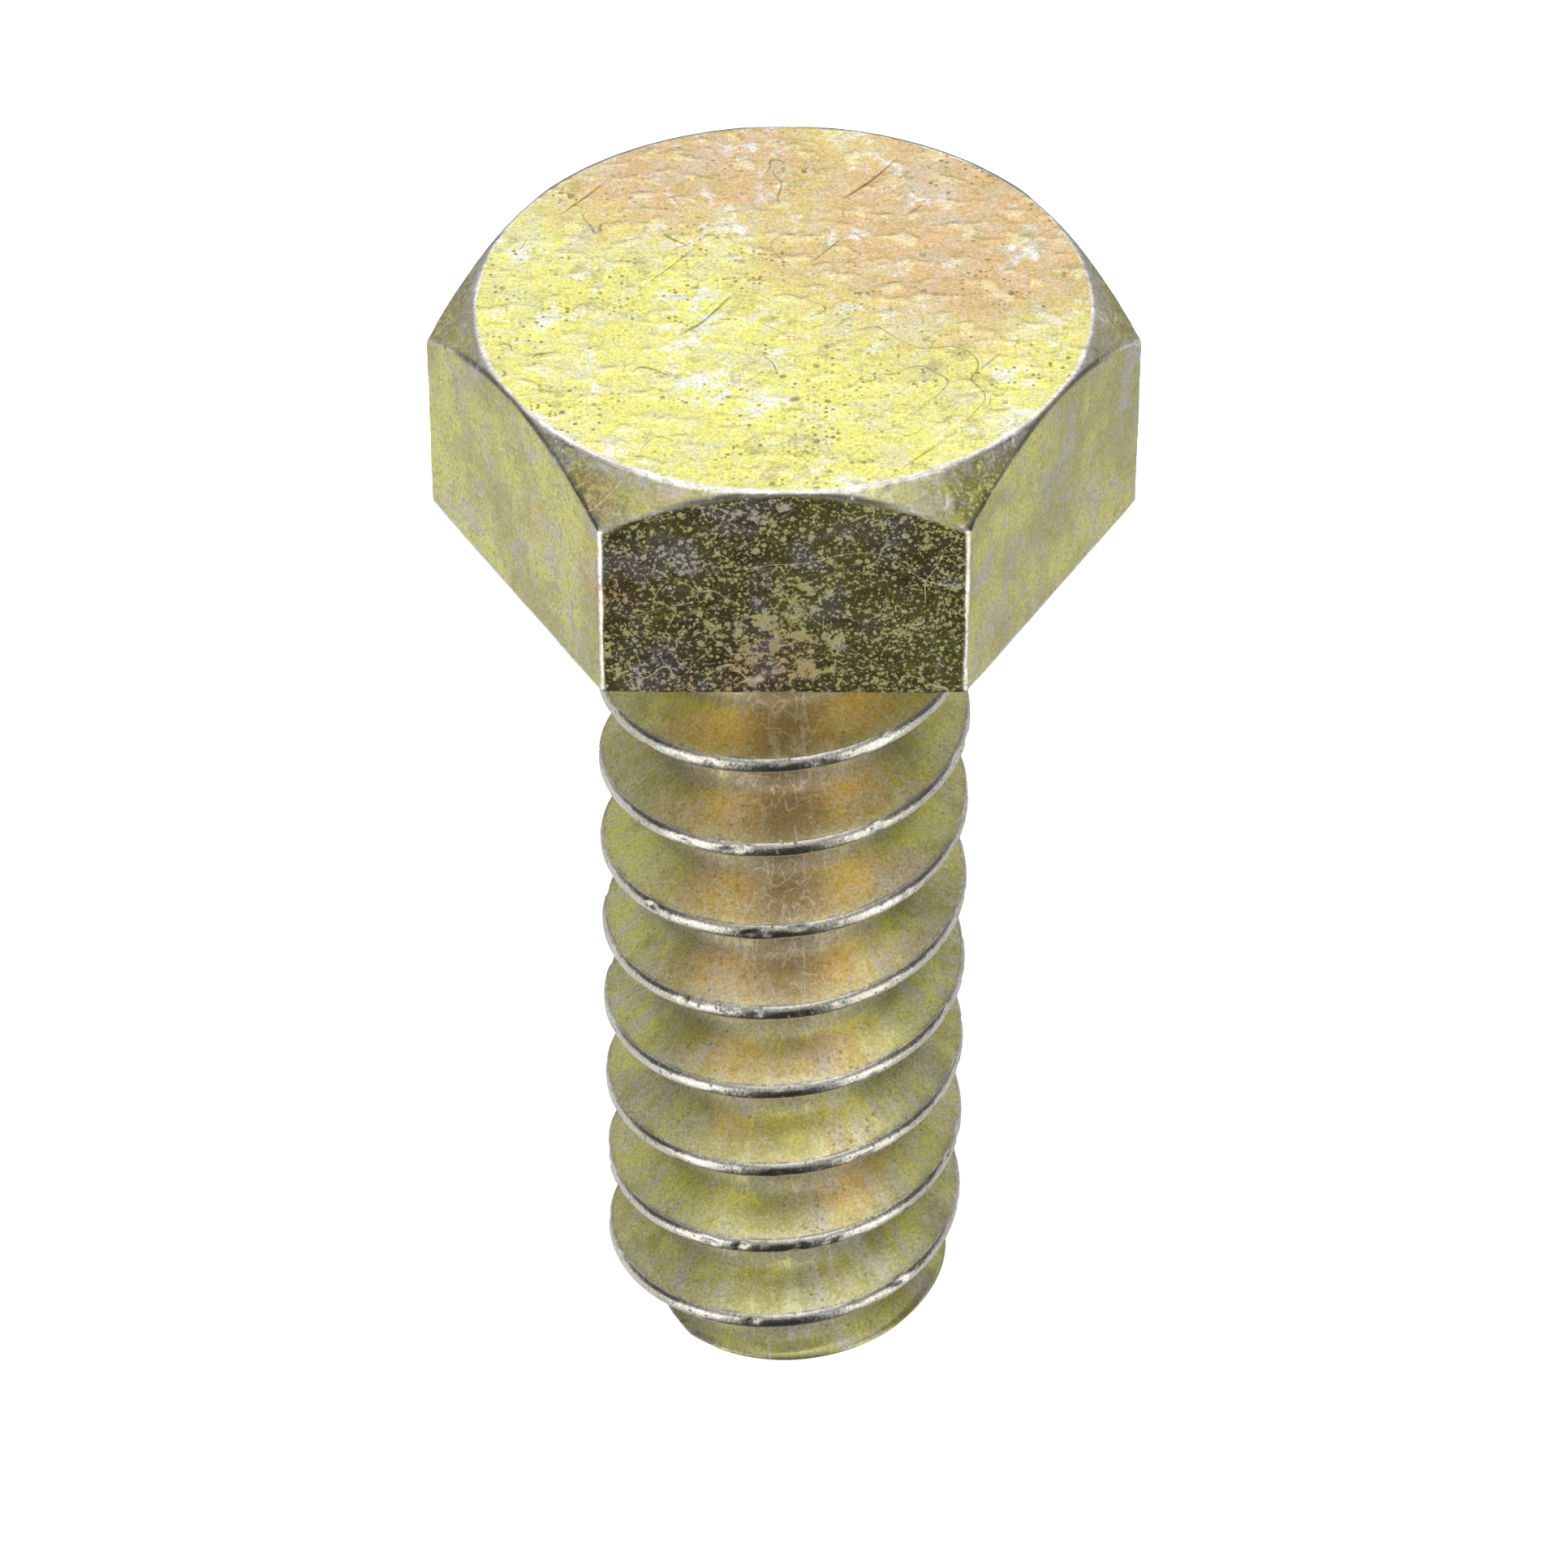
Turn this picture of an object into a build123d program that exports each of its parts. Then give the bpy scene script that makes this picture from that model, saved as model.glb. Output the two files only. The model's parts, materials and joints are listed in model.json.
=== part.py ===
from build123d import *
import os
from math import ceil, radians, sqrt, tan

# A hexagon head bolt, threaded along its whole shank, in millimetres.
# The origin is the centre of the head's underside. +Z runs along the axis
# towards the top of the head, and a flat of the hexagon faces -Y.

# Hexagon head
across_flats = 16.0
head_height = 6.4
chamfer_circle = 15.96   # diameter of the flat top, inside the chamfer
chamfer_angle = 44.0     # slope of the chamfer, from the flat top

# Shank
major_diameter = 10.0
shank_length = 27.7
tip_diameter = 7.8       # diameter of the flat end, inside its chamfer
neck_length = 0.9        # plain neck under the head, where the thread runs out
neck_fillet = 0.4        # radius where the neck meets the head

# Thread: one start, right hand
pitch = 2.89
thread_depth = 1.5
crest_width = 0.41
flank_angle = 60.0       # between the two flanks of the groove
front_crest_drop = 4.93  # from the head's underside to a crest at the -Y side

# Cutting shapes
groove_overshoot = 0.2   # how far the groove's cutter stands out of the shank
clearance = 1.0          # how far the other shapes stand clear of the metal
turns_above_head = 3     # more turns than the groove's cutter rises above the neck

major_radius = major_diameter / 2
root_radius = major_radius - thread_depth
corner_radius = across_flats / sqrt(3)
flank_slope = tan(radians(flank_angle / 2))


def make_head():
    """The hexagon, with its corners cut back by a cone around the flat top."""
    hexagon = extrude(RegularPolygon(corner_radius, 6), head_height)
    top_radius = chamfer_circle / 2
    rim_radius = corner_radius + clearance
    rim_height = head_height - (rim_radius - top_radius) * tan(radians(chamfer_angle))
    outline = Polyline(
        (0, 0),
        (rim_radius, 0),
        (rim_radius, rim_height),
        (top_radius, head_height),
        (0, head_height),
        close=True,
    )
    envelope = revolve(Plane.XZ * make_face(outline), Axis.Z)
    return hexagon & envelope


def make_blank():
    """The shank before threading: neck fillet, plain cylinder and chamfered end."""
    tip_radius = tip_diameter / 2
    chamfer_top = major_radius - tip_radius - shank_length
    fillet_edge = (major_radius + neck_fillet, 0)
    fillet_end = (major_radius, -neck_fillet)
    outline = Curve() + [
        Line((0, 0), fillet_edge),
        RadiusArc(fillet_edge, fillet_end, -neck_fillet),
        Line(fillet_end, (major_radius, chamfer_top)),
        Line((major_radius, chamfer_top), (tip_radius, -shank_length)),
        Line((tip_radius, -shank_length), (0, -shank_length)),
        Line((0, -shank_length), (0, 0)),
    ]
    return revolve(Plane.XZ * make_face(outline), Axis.Z)


def make_groove():
    """The cutter for the thread: a trapezoid that follows a right-hand helix."""
    root_half = (pitch - crest_width) / 2 - thread_depth * flank_slope
    outer_radius = major_radius + groove_overshoot
    outer_half = root_half + (outer_radius - root_radius) * flank_slope
    # The helix starts at +X, a quarter turn past the crest at -Y and half a
    # pitch above it, then steps down whole turns until it clears the tip.
    beside_crest = -front_crest_drop + pitch / 4 + pitch / 2
    turns_down = ceil((shank_length + beside_crest) / pitch) + 1
    start = beside_crest - turns_down * pitch
    turns = ceil(-start / pitch) + 1
    outline = Polyline(
        (root_radius, start - root_half),
        (outer_radius, start - outer_half),
        (outer_radius, start + outer_half),
        (root_radius, start + root_half),
        close=True,
    )
    section = Plane.XZ * make_face(outline)
    path = Helix(pitch, turns * pitch, root_radius, center=(0, 0, start))
    return sweep(section, path=path, is_frenet=True)


def make_run_out():
    """The space kept out of the groove: the neck, and a cone that ends the thread."""
    reach = major_radius + clearance
    root_end = -neck_length - thread_depth
    top = turns_above_head * pitch
    outline = Polyline(
        (0, top),
        (reach, top),
        (reach, -neck_length + clearance),
        (root_radius - clearance, root_end - clearance),
        (0, root_end - clearance),
        close=True,
    )
    return revolve(Plane.XZ * make_face(outline), Axis.Z)


def make_bolt():
    """Head and threaded shank, one solid, as a bolt is forged from one bar."""
    shank = make_blank() - (make_groove() - make_run_out())
    return make_head() + shank


os.makedirs("parts", exist_ok=True)
bolt = make_bolt()
bolt.label = "hex_bolt"
export_step(bolt, "parts/hex_bolt.step")
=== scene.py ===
import json
import math
from types import SimpleNamespace

import bmesh
import bpy
import numpy as np
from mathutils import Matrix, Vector, noise


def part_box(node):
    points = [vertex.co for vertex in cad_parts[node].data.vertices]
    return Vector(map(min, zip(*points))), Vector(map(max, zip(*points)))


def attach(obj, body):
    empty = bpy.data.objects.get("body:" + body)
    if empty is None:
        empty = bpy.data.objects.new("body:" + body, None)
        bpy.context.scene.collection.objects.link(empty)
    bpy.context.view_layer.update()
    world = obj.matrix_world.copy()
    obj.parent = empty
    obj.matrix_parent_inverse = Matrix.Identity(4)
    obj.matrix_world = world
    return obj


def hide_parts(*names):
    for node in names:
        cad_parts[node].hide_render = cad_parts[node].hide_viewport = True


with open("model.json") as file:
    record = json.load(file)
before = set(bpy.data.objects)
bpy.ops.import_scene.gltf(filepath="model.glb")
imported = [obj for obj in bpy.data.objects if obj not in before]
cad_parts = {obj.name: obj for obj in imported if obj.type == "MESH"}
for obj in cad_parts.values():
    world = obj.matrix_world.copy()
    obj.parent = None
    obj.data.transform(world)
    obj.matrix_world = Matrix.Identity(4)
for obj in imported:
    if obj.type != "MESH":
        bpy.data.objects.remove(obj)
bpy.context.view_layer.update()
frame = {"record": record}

# Sizes in metres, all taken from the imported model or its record.
MM = 0.001
LOW, HIGH = (np.array(corner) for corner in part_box("hex_bolt"))
ACROSS_FLATS = HIGH[1] - LOW[1]
HEAD_HEIGHT = HIGH[2]
SHANK_LENGTH = -LOW[2]
THREAD = next(m for m in frame["record"]["mounts"] if m["name"] == "thread")
MAJOR_RADIUS = THREAD["dims"]["r_mm"] * MM
NECK_LENGTH = SHANK_LENGTH - THREAD["dims"]["length_mm"] * MM

# The head's chamfer and the thread's form, as designed.
TOP_RADIUS = 7.98 * MM
CHAMFER_SLOPE = math.tan(math.radians(44))
PITCH = 2.89 * MM
THREAD_DEPTH = 1.5 * MM
CREST_WIDTH = 0.41 * MM
FLANK_SLOPE = math.tan(math.radians(30))
FRONT_CREST_DROP = 4.93 * MM
TIP_RADIUS = 3.9 * MM
NECK_FILLET = 0.4 * MM
ROOT_RADIUS = MAJOR_RADIUS - THREAD_DEPTH

# Worn edges.
HEAD_EDGE = 0.12 * MM
LEAST_HEAD_EDGE = 0.4 * HEAD_EDGE
CREST_EDGE = 0.26 * MM
TIP_EDGE = 0.09 * MM
ROOT_FILLET = 0.60 * MM
RUN_OUT_BLEND = 0.12 * MM
TIP_BLEND = 0.10 * MM

# Mesh density.
TURN_STEPS = 252
FACE_STEP = 0.24 * MM
EDGE_STEPS_MM = (0.0, 0.04, 0.08, 0.13, 0.20, 0.32, 0.50)
CHAMFER_SHARES = (0, 0.03, 0.07, 0.13, 0.22, 0.36, 0.5, 0.64, 0.78, 0.87, 0.93, 0.97)
TIP_SHARES = (0.96, 0.9, 0.8, 0.68, 0.55, 0.42, 0.3, 0.18, 0.08)
TIP_ROUND_STEPS = 4
FILLET_STEPS = 6
UNDERSIDE_INNER = 5.9 * MM   # where the underside's rings stop, outside the neck
NECK_CUT = NECK_FILLET + 0.02 * MM
WELD = 1e-9

# Wear by distance from an edge: where it is whole, then where it has gone.
WIDE_WEAR = (0.02 * MM, 0.16 * MM)
NARROW_WEAR = (0.00 * MM, 0.10 * MM)
LOWER_WEAR = (0.06 * MM, 0.24 * MM)
# For the painted shade along the arcs near the top, by distance from the arc.
ARC_SHADE_REACH = (0.02 * MM, 0.11 * MM)

# The same by depth below the top, for the chamfer's rim and the arcs.
RIM_DEPTHS = (0.05 * MM, 0.55 * MM)
ARC_DEPTHS = (0.25 * MM, 0.70 * MM)

# Where a mark starts, then where it is whole.
RIM_START = (0.02 * MM, 0.06 * MM)     # depths below the top
ARC_START = (0.02 * MM, 0.07 * MM)
CORNER_RADII = (8.8 * MM, 9.1 * MM)    # radii between which the head's edges round more
TIP_WEAR_RADII = (3.2 * MM, 3.6 * MM)
TIP_WEAR = (0.3 * MM, 0.0)             # distances from the flat end
CREST_WEAR = (0.90, 0.975)             # shares of the thread's depth
NECK_WEAR = 0.2                        # the share of that wear left on the neck

# Where each kind of wear counts.
CORNER_WEAR_RADIUS = 9.0 * MM
TOP_EDGE_DEPTH = 0.10 * MM
LOWER_EDGE_TOP = 0.30 * MM
BEHIND_FRONT = 0.05 * MM
ON_FLAT = 0.03 * MM
BELOW_HEAD = -0.01 * MM

# The marks left on the mesh by wear: depths, and noise scales in features per metre.
WAVE_DEPTH = 0.010 * MM
WAVE_SCALE = 420
SHANK_WAVES = 0.6                      # how deep the shank's waves are, to the head's
NICK_DEPTH = 0.06 * MM
NICK_SCALE = 1900
NICK_SHARES = (0.22, 0.7)              # noise values where a nick starts and is deepest
NICKED_CREST = (0.93, 1.0)             # shares of the thread's depth
RIPPLE_DEPTH = 0.008 * MM
RIPPLE_SCALE = 3800
EDGE_SCALES = (900, 3500)              # how fast the rounding of the head's edges varies
EDGE_SHARES = (0.35, 0.20)             # and how much of it, for each of those scales
ARC_EDGE_SHARE = 0.65                  # the edges of the top and arcs, to the corners'


# ---------------------------------------------------------------- geometry


def graded(length, step=FACE_STEP):
    """Places along an edge-to-edge length, close together near both ends."""
    near = np.array(EDGE_STEPS_MM) * MM
    near = near[near < length * 0.4]
    inner = length - 2 * near[-1]
    count = max(1, round(inner / step))
    middle = near[-1] + inner * np.arange(1, count) / count
    return np.concatenate([near, middle, (length - near)[::-1]])


def noise_at(points, scale, seed, octaves=3):
    """Smooth noise, about -1 to 1, for each point. scale is in features per metre."""
    shift = Vector((17.3 * seed, -5.1 * seed, 9.7 * seed))
    return np.array([noise.fractal(Vector(p) * scale + shift, 1.0, 2.0, octaves) for p in points])


def smoothstep(low, high, value):
    t = np.clip((value - low) / (high - low), 0.0, 1.0)
    return t * t * (3 - 2 * t)


def head_walls(points):
    """How far each point stands outside each wall of the head."""
    x, y, z = points.T
    radius = np.hypot(x, y)
    walls = []
    for side in range(6):
        angle = math.radians(30 + 60 * side)
        walls.append(x * math.cos(angle) + y * math.sin(angle) - ACROSS_FLATS / 2)
    walls.append(z - HEAD_HEIGHT)
    cone = z - HEAD_HEIGHT + (radius - TOP_RADIUS) * CHAMFER_SLOPE
    walls.append(cone / math.hypot(1, CHAMFER_SLOPE))
    walls.append(-z)
    return np.array(walls)


def head_field(points, edge):
    """Zero on the head's surface, where its walls meet in edges rounded by edge."""
    outside = np.maximum(head_walls(points) + edge, 0)
    return np.sqrt((outside**2).sum(axis=0)) - edge


def round_head(points):
    """Moves points from the sharp head onto the head with its worn, uneven edges."""
    broad, narrow = EDGE_SCALES
    uneven = EDGE_SHARES[0] * noise_at(points, broad, 1)
    uneven += EDGE_SHARES[1] * noise_at(points, narrow, 2)
    edge = HEAD_EDGE * (1 + uneven)
    radius = np.hypot(points[:, 0], points[:, 1])
    at_corner = smoothstep(*CORNER_RADII, radius)
    edge *= ARC_EDGE_SHARE + (1 - ARC_EDGE_SHARE) * at_corner
    edge = np.maximum(edge, LEAST_HEAD_EDGE)
    tiny = 1e-7
    least_size = 0.05
    passes = 6
    for _ in range(passes):
        value = head_field(points, edge)
        slope = np.zeros_like(points)
        for axis in range(3):
            step = np.zeros(3)
            step[axis] = tiny
            rise = head_field(points + step, edge) - head_field(points - step, edge)
            slope[:, axis] = rise / (2 * tiny)
        size = np.maximum((slope**2).sum(axis=1), least_size)
        points = points - slope * (value / size)[:, None]
    return points


def hexagon_outline():
    """Corner-to-corner points round the hexagon, close together near the corners."""
    side = ACROSS_FLATS / math.sqrt(3)
    angles = [math.radians(60 * k) for k in range(7)]
    corners = [np.array([math.cos(angle), math.sin(angle)]) * side for angle in angles]
    along = graded(side)[:-1] / side
    return np.concatenate([a + (b - a) * along[:, None] for a, b in zip(corners, corners[1:])])


def head_rings():
    """Rings of points from the middle of the top, over the sides, to the underside."""
    outline = hexagon_outline()
    reach = np.hypot(*outline.T)
    way = outline / reach[:, None]
    rings = []

    def add(radius, height):
        ring = np.empty((len(outline), 3))
        ring[:, :2] = way * np.broadcast_to(radius, reach.shape)[:, None]
        ring[:, 2] = height
        rings.append(ring)

    for radius in graded(TOP_RADIUS)[len(EDGE_STEPS_MM):-1]:
        add(radius, HEAD_HEIGHT)
    edge_height = HEAD_HEIGHT - (reach - TOP_RADIUS) * CHAMFER_SLOPE
    for share in CHAMFER_SHARES:
        radius = TOP_RADIUS + (reach - TOP_RADIUS) * share
        add(radius, HEAD_HEIGHT + (edge_height - HEAD_HEIGHT) * share)
    for share in graded(HEAD_HEIGHT) / HEAD_HEIGHT:
        add(reach, edge_height * (1 - share))
    widths = graded(2 * (ACROSS_FLATS / 2 - UNDERSIDE_INNER))
    widths = widths[: len(widths) // 2 + 1][1:]
    for share in widths / widths[-1]:
        add(reach + (UNDERSIDE_INNER - reach) * share, 0.0)
    return rings


def thread_profile():
    """One pitch of the thread, as (height above the groove's middle, radius)."""
    root_half = (PITCH - CREST_WIDTH) / 2 - THREAD_DEPTH * FLANK_SLOPE
    turn = math.radians(60)
    cut_root = ROOT_FILLET * math.tan(turn / 2)
    cut_crest = CREST_EDGE * math.tan(turn / 2)
    crest_start = PITCH / 2 - CREST_WIDTH / 2
    half = [(0.0, ROOT_RADIUS)]
    for share in np.linspace(0, 1, 4):
        bend = turn * share
        half.append((
            root_half - cut_root + ROOT_FILLET * math.sin(bend),
            ROOT_RADIUS + ROOT_FILLET * (1 - math.cos(bend)),
        ))
    low = half[-1]
    crest = []
    for share in np.linspace(0, 1, 5):
        bend = turn * (1 - share)
        crest.append((
            crest_start + cut_crest - CREST_EDGE * math.sin(bend),
            MAJOR_RADIUS - CREST_EDGE * (1 - math.cos(bend)),
        ))
    high = crest[0]
    for share in np.linspace(0, 1, 6)[1:-1]:
        half.append((low[0] + (high[0] - low[0]) * share, low[1] + (high[1] - low[1]) * share))
    half += crest
    half.append((PITCH / 2, MAJOR_RADIUS))
    mirrored = [(PITCH - height, radius) for height, radius in half[-2:0:-1]]
    return np.array(half + mirrored)


def smooth_max(a, b, blend):
    """The larger of two lengths, with the crease between them rounded by blend."""
    mix = np.clip(0.5 + 0.5 * (a - b) / blend, 0, 1)
    return b + (a - b) * mix + blend * mix * (1 - mix)


def thread_points():
    """The helical grid: one row of points for each profile point of each turn."""
    profile = thread_profile()
    turns_up = 1
    turns_down = math.ceil(SHANK_LENGTH / PITCH) + 1
    rows = []
    for turn in range(-turns_down, turns_up):
        rows.append(np.column_stack([profile[:, 0] + turn * PITCH, profile[:, 1]]))
    rows = np.concatenate(rows)
    angle = 2 * math.pi * np.arange(TURN_STEPS) / TURN_STEPS
    # At +X the groove's middle is a quarter of a pitch above the front one's,
    # and half a pitch above the crest's.
    first = -FRONT_CREST_DROP + 0.75 * PITCH
    height = rows[:, 0][:, None] + first + PITCH * angle[None, :] / (2 * math.pi)
    radius = np.broadcast_to(rows[:, 1][:, None], height.shape)
    return angle, height, radius, len(profile)


def shank_radius(height, radius):
    """The thread's radius, with the run-out at the neck and the chamfered tip."""
    run_out = np.minimum(MAJOR_RADIUS, MAJOR_RADIUS + height + NECK_LENGTH)
    radius = smooth_max(radius, run_out, RUN_OUT_BLEND)
    radius = np.minimum(radius, MAJOR_RADIUS)
    cone = TIP_RADIUS + height + SHANK_LENGTH
    return -smooth_max(-radius, -cone, TIP_BLEND)


def build_shank(mesh):
    """Adds the threaded shank to a bmesh, cut flat at both ends. Returns its end loops."""
    angle, height, radius, per_turn = thread_points()
    radius = shank_radius(height, radius)
    x = radius * np.cos(angle)
    y = radius * np.sin(angle)
    grid = [[mesh.verts.new((x[j, i], y[j, i], height[j, i])) for i in range(TURN_STEPS)]
            for j in range(len(height))]
    for j in range(len(grid) - 1):
        for i in range(TURN_STEPS - 1):
            mesh.faces.new((grid[j][i], grid[j][i + 1], grid[j + 1][i + 1], grid[j + 1][i]))
        if j + 1 + per_turn < len(grid):
            last = TURN_STEPS - 1
            mesh.faces.new((
                grid[j][last], grid[j + per_turn][0],
                grid[j + 1 + per_turn][0], grid[j + 1][last],
            ))
    for cut_height, way in ((-NECK_CUT, 1), (-SHANK_LENGTH + TIP_EDGE, -1)):
        everything = mesh.verts[:] + mesh.edges[:] + mesh.faces[:]
        bmesh.ops.bisect_plane(
            mesh, geom=everything, dist=WELD, plane_co=(0, 0, cut_height),
            plane_no=(0, 0, way), clear_outer=True,
        )
    loose = [v for v in mesh.verts if not v.link_faces]
    bmesh.ops.delete(mesh, geom=loose, context="VERTS")
    rim = {v for e in mesh.edges if e.is_boundary for v in e.verts}
    middle = -SHANK_LENGTH / 2
    upper = [v for v in rim if v.co.z > middle]
    lower = [v for v in rim if v.co.z < middle]
    return by_angle(upper), by_angle(lower)


def by_angle(verts):
    return sorted(verts, key=lambda v: math.atan2(v.co.y, v.co.x))


def zip_loops(mesh, first, second):
    """Joins two closed loops, both in order of angle, with a band of triangles."""
    def places(loop):
        return [math.atan2(v.co.y, v.co.x) for v in loop] + [
            math.atan2(loop[0].co.y, loop[0].co.x) + 2 * math.pi
        ]

    a, b = places(first), places(second)
    i = j = 0
    while i < len(first) or j < len(second):
        v, w = first[i % len(first)], second[j % len(second)]
        go_first = j >= len(second) or (i < len(first) and a[i + 1] <= b[j + 1])
        if go_first:
            i += 1
            mesh.faces.new((v, first[i % len(first)], w))
        else:
            j += 1
            mesh.faces.new((v, second[j % len(second)], w))


def join_rings(mesh, first, second):
    """Joins two closed loops of the same count with a band of quads."""
    count = len(first)
    for i in range(count):
        k = (i + 1) % count
        mesh.faces.new((first[i], first[k], second[k], second[i]))


def close_end(mesh, loop):
    """Rounds the tip's edge and closes the flat end with shrinking rings."""
    lean = 0.6   # how far the rounding leans in from the chamfer, for each unit down
    start = [v.co.copy() for v in loop]
    previous = loop
    for k in range(1, TIP_ROUND_STEPS + 1):
        bend = math.pi / 2 * k / TIP_ROUND_STEPS
        sink = TIP_EDGE * math.sin(bend)
        inset = TIP_EDGE * (1 - math.cos(bend)) + lean * sink
        ring = []
        for co in start:
            flat = Vector((co.x, co.y, 0))
            place = flat * (1 - inset / flat.length) + Vector((0, 0, co.z - sink))
            ring.append(mesh.verts.new(place))
        join_rings(mesh, previous, ring)
        previous = ring
    outer = [v.co.copy() for v in previous]
    for share in TIP_SHARES:
        ring = [mesh.verts.new((co.x * share, co.y * share, co.z)) for co in outer]
        join_rings(mesh, previous, ring)
        previous = ring
    centre = mesh.verts.new((0, 0, outer[0].z))
    for i, v in enumerate(previous):
        mesh.faces.new((v, previous[(i + 1) % len(previous)], centre))


def add_neck(mesh, loop):
    """Carries the shank's upper loop round the fillet under the head."""
    previous = loop
    for k in range(FILLET_STEPS + 1):
        bend = math.pi / 2 * k / FILLET_STEPS
        radius = MAJOR_RADIUS + NECK_FILLET * (1 - math.cos(bend))
        height = -NECK_FILLET * (1 - math.sin(bend))
        ring = []
        for v in loop:
            way = Vector((v.co.x, v.co.y, 0)).normalized()
            ring.append(mesh.verts.new(way * radius + Vector((0, 0, height))))
        join_rings(mesh, previous, ring)
        previous = ring
    return previous


def build_head(mesh):
    """Adds the head's top, chamfer, flats and underside. Returns the inner loop."""
    rings = head_rings()
    counts = len(rings[0])
    points = round_head(np.concatenate(rings))
    verts = [mesh.verts.new(p) for p in points]
    loops = [verts[k: k + counts] for k in range(0, len(verts), counts)]
    centre = mesh.verts.new((0, 0, HEAD_HEIGHT))
    for i in range(counts):
        mesh.faces.new((loops[0][i], loops[0][(i + 1) % counts], centre))
    for a, b in zip(loops, loops[1:]):
        join_rings(mesh, a, b)
    return by_angle(loops[-1])


def wear_values(points):
    """How worn each point is, how high on the thread, and how near the top's rim, 0 to 1."""
    walls = head_walls(points)
    from_edge = np.maximum(-np.sort(walls, axis=0)[-2], 0)
    on_head = points[:, 2] > BELOW_HEAD
    radius = np.hypot(points[:, 0], points[:, 1])
    crest = np.clip((radius - ROOT_RADIUS) / THREAD_DEPTH, 0, 1)
    crest = np.where(on_head, 0, crest)
    shank_wear = smoothstep(*CREST_WEAR, crest)
    shank_wear[points[:, 2] > -NECK_LENGTH] *= NECK_WEAR
    from_end = np.abs(points[:, 2] + SHANK_LENGTH)
    tip = smoothstep(*TIP_WEAR, from_end) * smoothstep(*TIP_WEAR_RADII, radius)
    below_top = HEAD_HEIGHT - points[:, 2]
    on_wide_edge = (below_top < TOP_EDGE_DEPTH) | (radius > CORNER_WEAR_RADIUS)
    on_lower_edge = (points[:, 2] < LOWER_EDGE_TOP) & (points[:, 1] > LOW[1] + BEHIND_FRONT)
    head_wear = 1 - smoothstep(*NARROW_WEAR, from_edge)
    head_wear = np.where(on_wide_edge, 1 - smoothstep(*WIDE_WEAR, from_edge), head_wear)
    head_wear = np.where(on_lower_edge, 1 - smoothstep(*LOWER_WEAR, from_edge), head_wear)
    wear = np.where(on_head, head_wear, np.maximum(shank_wear, tip))
    on_flat = walls[:6].max(axis=0) > -ON_FLAT
    rim = 1 - smoothstep(*RIM_DEPTHS, below_top)
    rim *= smoothstep(*RIM_START, below_top)
    rim = np.where(on_flat, 0, rim)
    return wear, crest, rim


def arc_values(points):
    """1 on the arc between a flat and the chamfer where it nears the top, else 0: where painted shade
    goes.
    """
    walls = head_walls(points)
    flats, cone = walls[:6].max(axis=0), walls[7]
    from_arc = np.maximum(-flats, -cone)
    below_top = HEAD_HEIGHT - points[:, 2]
    near = 1 - smoothstep(*ARC_SHADE_REACH, from_arc)
    high = 1 - smoothstep(*ARC_DEPTHS, below_top)
    return near * high * smoothstep(*ARC_START, below_top)


def dent(points, normals):
    """Small shifts along the normals: waviness, dents and nicked crests."""
    on_head = points[:, 2] > BELOW_HEAD
    radius = np.hypot(points[:, 0], points[:, 1])
    crest = smoothstep(*NICKED_CREST, (radius - ROOT_RADIUS) / THREAD_DEPTH)
    waves = noise_at(points, WAVE_SCALE, 5) * WAVE_DEPTH
    nicks = -smoothstep(*NICK_SHARES, noise_at(points, NICK_SCALE, 6, 2)) * NICK_DEPTH
    nicks += noise_at(points, RIPPLE_SCALE, 7, 1) * RIPPLE_DEPTH
    shift = np.where(on_head, waves, waves * SHANK_WAVES + crest * nicks)
    return points + normals * shift[:, None]


def make_bolt():
    """The whole bolt as one closed mesh: head, neck, thread and tip."""
    mesh = bmesh.new()
    upper, lower = build_shank(mesh)
    close_end(mesh, lower)
    neck = add_neck(mesh, upper)
    underside = build_head(mesh)
    zip_loops(mesh, neck, underside)
    bmesh.ops.recalc_face_normals(mesh, faces=mesh.faces[:])
    data = bpy.data.meshes.new("hex_bolt_worn")
    mesh.to_mesh(data)
    mesh.free()
    count = len(data.vertices)
    points = np.zeros(count * 3)
    normals = np.zeros(count * 3)
    data.vertices.foreach_get("co", points)
    data.vertices.foreach_get("normal", normals)
    points, normals = points.reshape(-1, 3), normals.reshape(-1, 3)
    wear, crest, rim = wear_values(points)
    arc = arc_values(points)
    points = dent(points, normals)
    points = np.clip(points, LOW, HIGH)
    data.vertices.foreach_set("co", points.ravel())
    for name, values in (("wear", wear), ("crest", crest), ("rim", rim), ("arc", arc)):
        layer = data.attributes.new(name, "FLOAT", "POINT")
        layer.data.foreach_set("value", values)
    data.shade_smooth()
    data.update()
    bolt = bpy.data.objects.new("hex_bolt_worn", data)
    bpy.context.scene.collection.objects.link(bolt)
    return bolt


# ---------------------------------------------------------------- materials
# Colours are linear. In step(value, low, high) the two numbers are where a mask
# starts and where it is whole. The shifts keep noises of one scale apart.


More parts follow.
